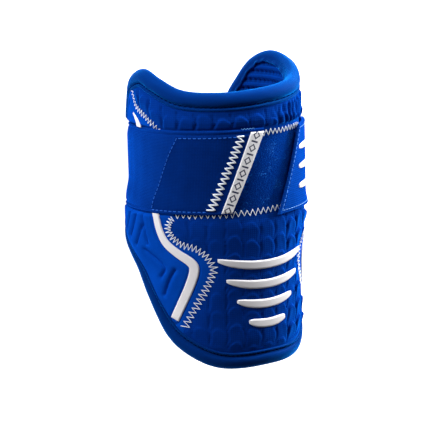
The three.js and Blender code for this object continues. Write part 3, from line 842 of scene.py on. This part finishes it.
light_share = worked_out(label_tree, "MULTIPLY_ADD", handled, 1.1, -0.2)
light_share = worked_out(label_tree, "MULTIPLY_ADD", basket, 0.5, light_share)
ground = mixed(label_tree, light_share, (0.68, 0.67, 0.7, 1), (0.9, 0.89, 0.91, 1))
woven = mixed(label_tree, figure, ground, (0.008, 0.012, 0.06, 1))
label_tree.links.new(woven, label_shader.inputs["Base Color"])
woven_height = worked_out(label_tree, "MULTIPLY_ADD", figure, 0.8, basket)
emboss(label_tree, label_shader, woven_height, strength=0.6, distance=0.00025)


def label_place(u, v):
    along = label_foot + (label_head - label_foot) * v
    across = slanted(-13.3 + 1.2 * v - (label_wide + label_wider * v) * (1 - u), along)
    out = 64.35 + 0.35 * rounded(u, 0.1) * rounded(v, 0.015) - 0.6 * (1 - rounded(v, 0.02))
    return across, along, np.maximum(out, 63.95), 63.6


label = layer("label_strip_woven", label_finish, columns=24, rows=120, place=label_place)
on_guard(label, "label", "label_strip")


# The pull tab: knit bonded over a stiffener with the hooks on its back, sewn over the strap's end. It closes
# on the loop panel, and its near edge stands a little proud.
tab_finish = cloth_finish(
    "tab_knit", (0.0018, 0.038, 0.26), (0.0006, 0.009, 0.07), roughness=0.5, thread=1.5, bump=0.0004,
    sheen=0.6,
)
tab_foot, tab_head, tab_near, tab_reach = 107.9, 168.4, 19.3, 75.0
tab_lift, tab_rim, tab_stitch_in = 2.3, 1.1, 2.6


def tab_top(across):
    return 65.3 + 0.5 * blend_in((across - 32) / 22)


def lifted(across, along):
    return tab_lift * np.exp(-(across - slanted(tab_near, along)) / 6)


def tab_place(u, v):
    along = tab_foot + (tab_head - tab_foot) * v
    near = slanted(tab_near, along)
    across = near + (tab_reach - near) * u
    side_edge = np.minimum(across - near, tab_reach - across)
    edge = np.minimum(side_edge, np.minimum(along - tab_foot, tab_head - along))
    rim = tab_rim * (1 - np.sqrt(1 - (1 - np.clip(edge / tab_rim, 0, 1)) ** 2))
    stitch_groove = 0.4 * bump_at(edge - tab_stitch_in, 0.6)
    out = tab_top(across) + lifted(across, along) - rim - stitch_groove
    hooks = 61.9 + lifted(across, along) + 1.4 * (1 - blend_in((edge - tab_stitch_in) / 0.9))
    return across, along, out, np.where(across > 61.5, 64.0, hooks)


pull_tab = layer("pull_tab_knit", tab_finish, columns=110, rows=110, place=tab_place)
on_guard(pull_tab, "tab", "pull_tab", fill=1.0)


# The raised ribs: soft white rubber, moulded through the knit in one shot, for grip. Four bowed ones stand
# on the chin, each longer than the one below it, and three straight ones on the tab.


def rib(name, node, middle_across, along, half_length, thick, bow, base, height):
    def place(u, v):
        off = 2 * u - 1
        across = middle_across + off * half_length
        half = thick / 2 * np.sqrt(np.maximum(1 - 0.9 * np.abs(off) ** 3.5, 0.02))
        proud = height * np.maximum(rounded(v, 0.2) * rounded(u, 0.04), 0.04)
        return across, along + bow * off**2 + half * (2 * v - 1), base(across) + proud, base(across) - 0.7

    made = layer(name, stripe_finish, columns=60, rows=12, place=place)
    on_guard(made, "rib", node)


def chin_base(across):
    return 63.4 + 0 * across


for number, reach in enumerate(rib_reaches):
    along = rib_first + rib_step * number
    rib(f"chin_grip_{number + 1}", f"chin_rib_{number + 1}", middle_across=0, along=along, half_length=reach,
        thick=6.4, bow=reach * rib_bow, base=chin_base, height=0.95)
for number in range(3):
    rib(f"tab_grip_{number + 1}", f"tab_rib_{number + 1}", middle_across=44, along=124.2 + 14 * number,
        half_length=13, thick=4.6, bow=0, base=tab_top, height=0.8)


# The thread: white polyester zigzag over every flat seam, a bold one across the strap's sewn end, blue
# dashes round the sewn end's patch, and small stitches along the binding and the tab. A zigzag is one long
# run of thread, and each dash is its own short one.


def twisted_thread(name, light, dark, gloss=0.1):
    finish, tree, shader = new_finish(name, light, roughness=0.55)
    place = add_node(tree, "ShaderNodeTexCoord").outputs["Object"]
    plies = laid_on(tree, place, "ShaderNodeTexWave", scale=900, detail=2, values={"Distortion": 2},
                    bands_direction="DIAGONAL")
    worn = laid_on(tree, place, "ShaderNodeTexNoise", scale=260, detail=3)
    shade = worked_out(tree, "MULTIPLY_ADD", plies, 0.5, worn)
    tree.links.new(mixed(tree, shade, (*dark, 1), (*light, 1)), shader.inputs["Base Color"])
    emboss(tree, shader, plies, strength=0.5, distance=0.0001)
    set_inputs(shader, {"Specular IOR Level": gloss})
    return finish


white_thread = twisted_thread("white_thread", (0.87, 0.9, 0.95), (0.6, 0.66, 0.75))
pale_blue_thread = twisted_thread("pale_blue_thread", (0.12, 0.36, 0.85), (0.03, 0.16, 0.55))
blue_thread = twisted_thread("blue_thread", (0.015, 0.12, 0.6), (0.004, 0.05, 0.3))
dark_thread = twisted_thread("dark_thread", (0.0008, 0.012, 0.09), (0.0004, 0.003, 0.03), gloss=0.0)
zigzag_arch = ((0.0, 0.0), (0.15, 0.16), (0.5, 0.24), (0.85, 0.16))
dash_shares, dash_arch = np.array([0, 0.18, 0.5, 0.82, 1]), np.array([-0.25, 0.6, 1, 0.6, -0.25])
dash_lift = 0.22


def sew(name, runs, thickness, finish, slot):
    curve = bpy.data.curves.new(name, "CURVE")
    curve.dimensions = "3D"
    curve.bevel_depth = 0.0005 * thickness
    curve.bevel_resolution = 1
    curve.use_fill_caps = True
    for run in runs:
        line = curve.splines.new("POLY")
        line.points.add(len(run) - 1)
        line.points.foreach_set("co", np.concatenate([run, np.ones((len(run), 1))], 1).ravel())
    rough = bpy.data.objects.new(name, curve)
    mesh = bpy.data.meshes.new_from_object(rough)
    bpy.data.objects.remove(rough)
    mesh.materials.clear()
    mesh.polygons.foreach_set("use_smooth", [True] * len(mesh.polygons))
    on_guard(own_object(name, mesh, finish), slot)


def zigzag(line, pitches, reaches, out, seed, covered=False):
    """Stitches from side to side of a seam. pitches and reaches give their size at its start and its end."""
    line = np.array(line)
    jitter = np.random.default_rng(seed)
    count = int(2 * steps_of(line).sum() / np.mean(pitches))
    stops = np.concatenate([[0], np.cumsum(np.linspace(*pitches, count))])
    points = at_share(line, stops / stops[-1])
    sideways = beside(points, 1) - points
    swings = np.linspace(*reaches, count + 1) * jitter.uniform(0.8, 1.14, count + 1)
    swings = swings * (-1) ** np.arange(count + 1)
    tips = points + sideways * swings[:, None]
    run = []
    for index in range(count):
        for share, lift in zigzag_arch:
            spot = tips[index] + (tips[index + 1] - tips[index]) * share
            run.append((*spot, out(abs(swings[index]) * abs(1 - 2 * share)) + lift))
    across, along, height = np.array(run).T
    return wrapped(across, along, under_strap(across, along, height) if covered else height)


def dashes(line, stitch, space, out):
    """Straight stitches along a line. Each comes up out of the cloth, lies on it and goes down again."""
    line = np.array(line)
    count = max(int(round(steps_of(line).sum() / (stitch + space))), 1)
    points = at_share(line, np.linspace(0, 1, count + 1))
    runs = []
    for start, following in zip(points[:-1], points[1:]):
        shares = dash_shares * stitch / (stitch + space)
        across, along = (start + (following - start) * shares[:, None]).T
        runs.append(wrapped(across, along, out(across, along) + dash_arch * dash_lift))
    return runs


def on_seam(gap):
    return seam_out(gap) + 0.2


def on_loop(gap):
    return seam_bed + 0.14 * gap


def on_tab(across, along):
    return tab_top(across) + lifted(across, along) - 0.3


shield_zigzags = []
for side in (-1, 1):
    side_line = shield_right[3:-3] * [side, 1]
    upper_line = (upper_right if side > 0 else upper_left * [-1, 1])[4:-1] * [side, 1]
    shield_zigzags += [
        zigzag(side_line, pitches=(3.9, 2.1), reaches=(2.9, 2.3), out=on_seam, seed=5, covered=True),
        zigzag(upper_line, pitches=(3.0, 2.6), reaches=(2.2, 1.8), out=on_seam, seed=6, covered=True),
    ]
sew("shield_seam_zigzag", shield_zigzags, thickness=0.48, finish=white_thread, slot="stripe")

lower_level = [(-62, 110.9), (-20, 111.3), (20, 112.6), (62, 111.5)]
upper_level = [(-2.5, 166.4), (24, 166.6), (42, 166.8)]
level_zigzags = [
    zigzag(lower_level, pitches=(4.0, 3.8), reaches=(2.3, 2.4), out=on_loop, seed=7),
    zigzag(upper_level, pitches=(3.8, 3.5), reaches=(2.1, 1.8), out=on_loop, seed=8),
]
sew("loop_panel_zigzag", level_zigzags, thickness=0.5, finish=white_thread, slot="stripe")

bold_line = [(-37.8, 114.2), (-16.6, 166.3)]
bold = zigzag(bold_line, pitches=(3.9, 3.8), reaches=(2.6, 2.4), out=lambda gap: 63.8, seed=9)
sew("strap_end_zigzag", [bold], thickness=1.15, finish=white_thread, slot="stripe")

patch_lines = ([(-20.5, 165), end_slope[0]], end_slope, [end_slope[-1], (-39.5, 113.6)])
patch_dashes = [run for line in patch_lines for run in dashes(line, stitch=1.8, space=1.4, out=strap_out)]
sew("strap_end_dashes", patch_dashes, thickness=0.7, finish=blue_thread, slot="strap")

groove_in, groove_out = 10.15, 60.95
groove = outline + groove_in * inward
stitch_middles = (np.arange(round(around[-1] / stitch_pitch)) + 0.5) * stitch_pitch
binding_dashes = []
for start in np.searchsorted(around, stitch_middles):
    across, along = groove[(start + np.array([-1, 0, 1])) % len(outline)].T
    out = under_strap(across, along, groove_out + np.array([-0.1, 0.35, -0.1]))
    binding_dashes.append(wrapped(across, along, out))
sew("binding_dashes", binding_dashes, thickness=0.75, finish=dark_thread, slot="binding")

low_line, high_line = tab_foot + tab_stitch_in, tab_head - tab_stitch_in
tab_corners = [
    (74, low_line),
    (slanted(tab_near + tab_stitch_in, low_line), low_line),
    (slanted(tab_near + tab_stitch_in, high_line), high_line),
    (74, high_line),
]
tab_dashes = [
    run for ends in zip(tab_corners, tab_corners[1:])
    for run in dashes(ends, stitch=1.8, space=1.3, out=on_tab)
]
sew("tab_dashes", tab_dashes, thickness=0.5, finish=pale_blue_thread, slot="tab")

tab_line, tack_line = [(50, 167.8), (74, 167.8)], [(-17, 170.3), (-8, 170.3)]
tab_overlock = zigzag(tab_line, pitches=(2.2, 2.2), reaches=(0.9, 0.9), out=lambda gap: 65.7, seed=12)
strap_tacks = zigzag(tack_line, pitches=(2.0, 2.0), reaches=(0.45, 0.45), out=lambda gap: 63.1, seed=13)
sew("corner_tacks", [tab_overlock, strap_tacks], thickness=0.35, finish=pale_blue_thread, slot="stripe")
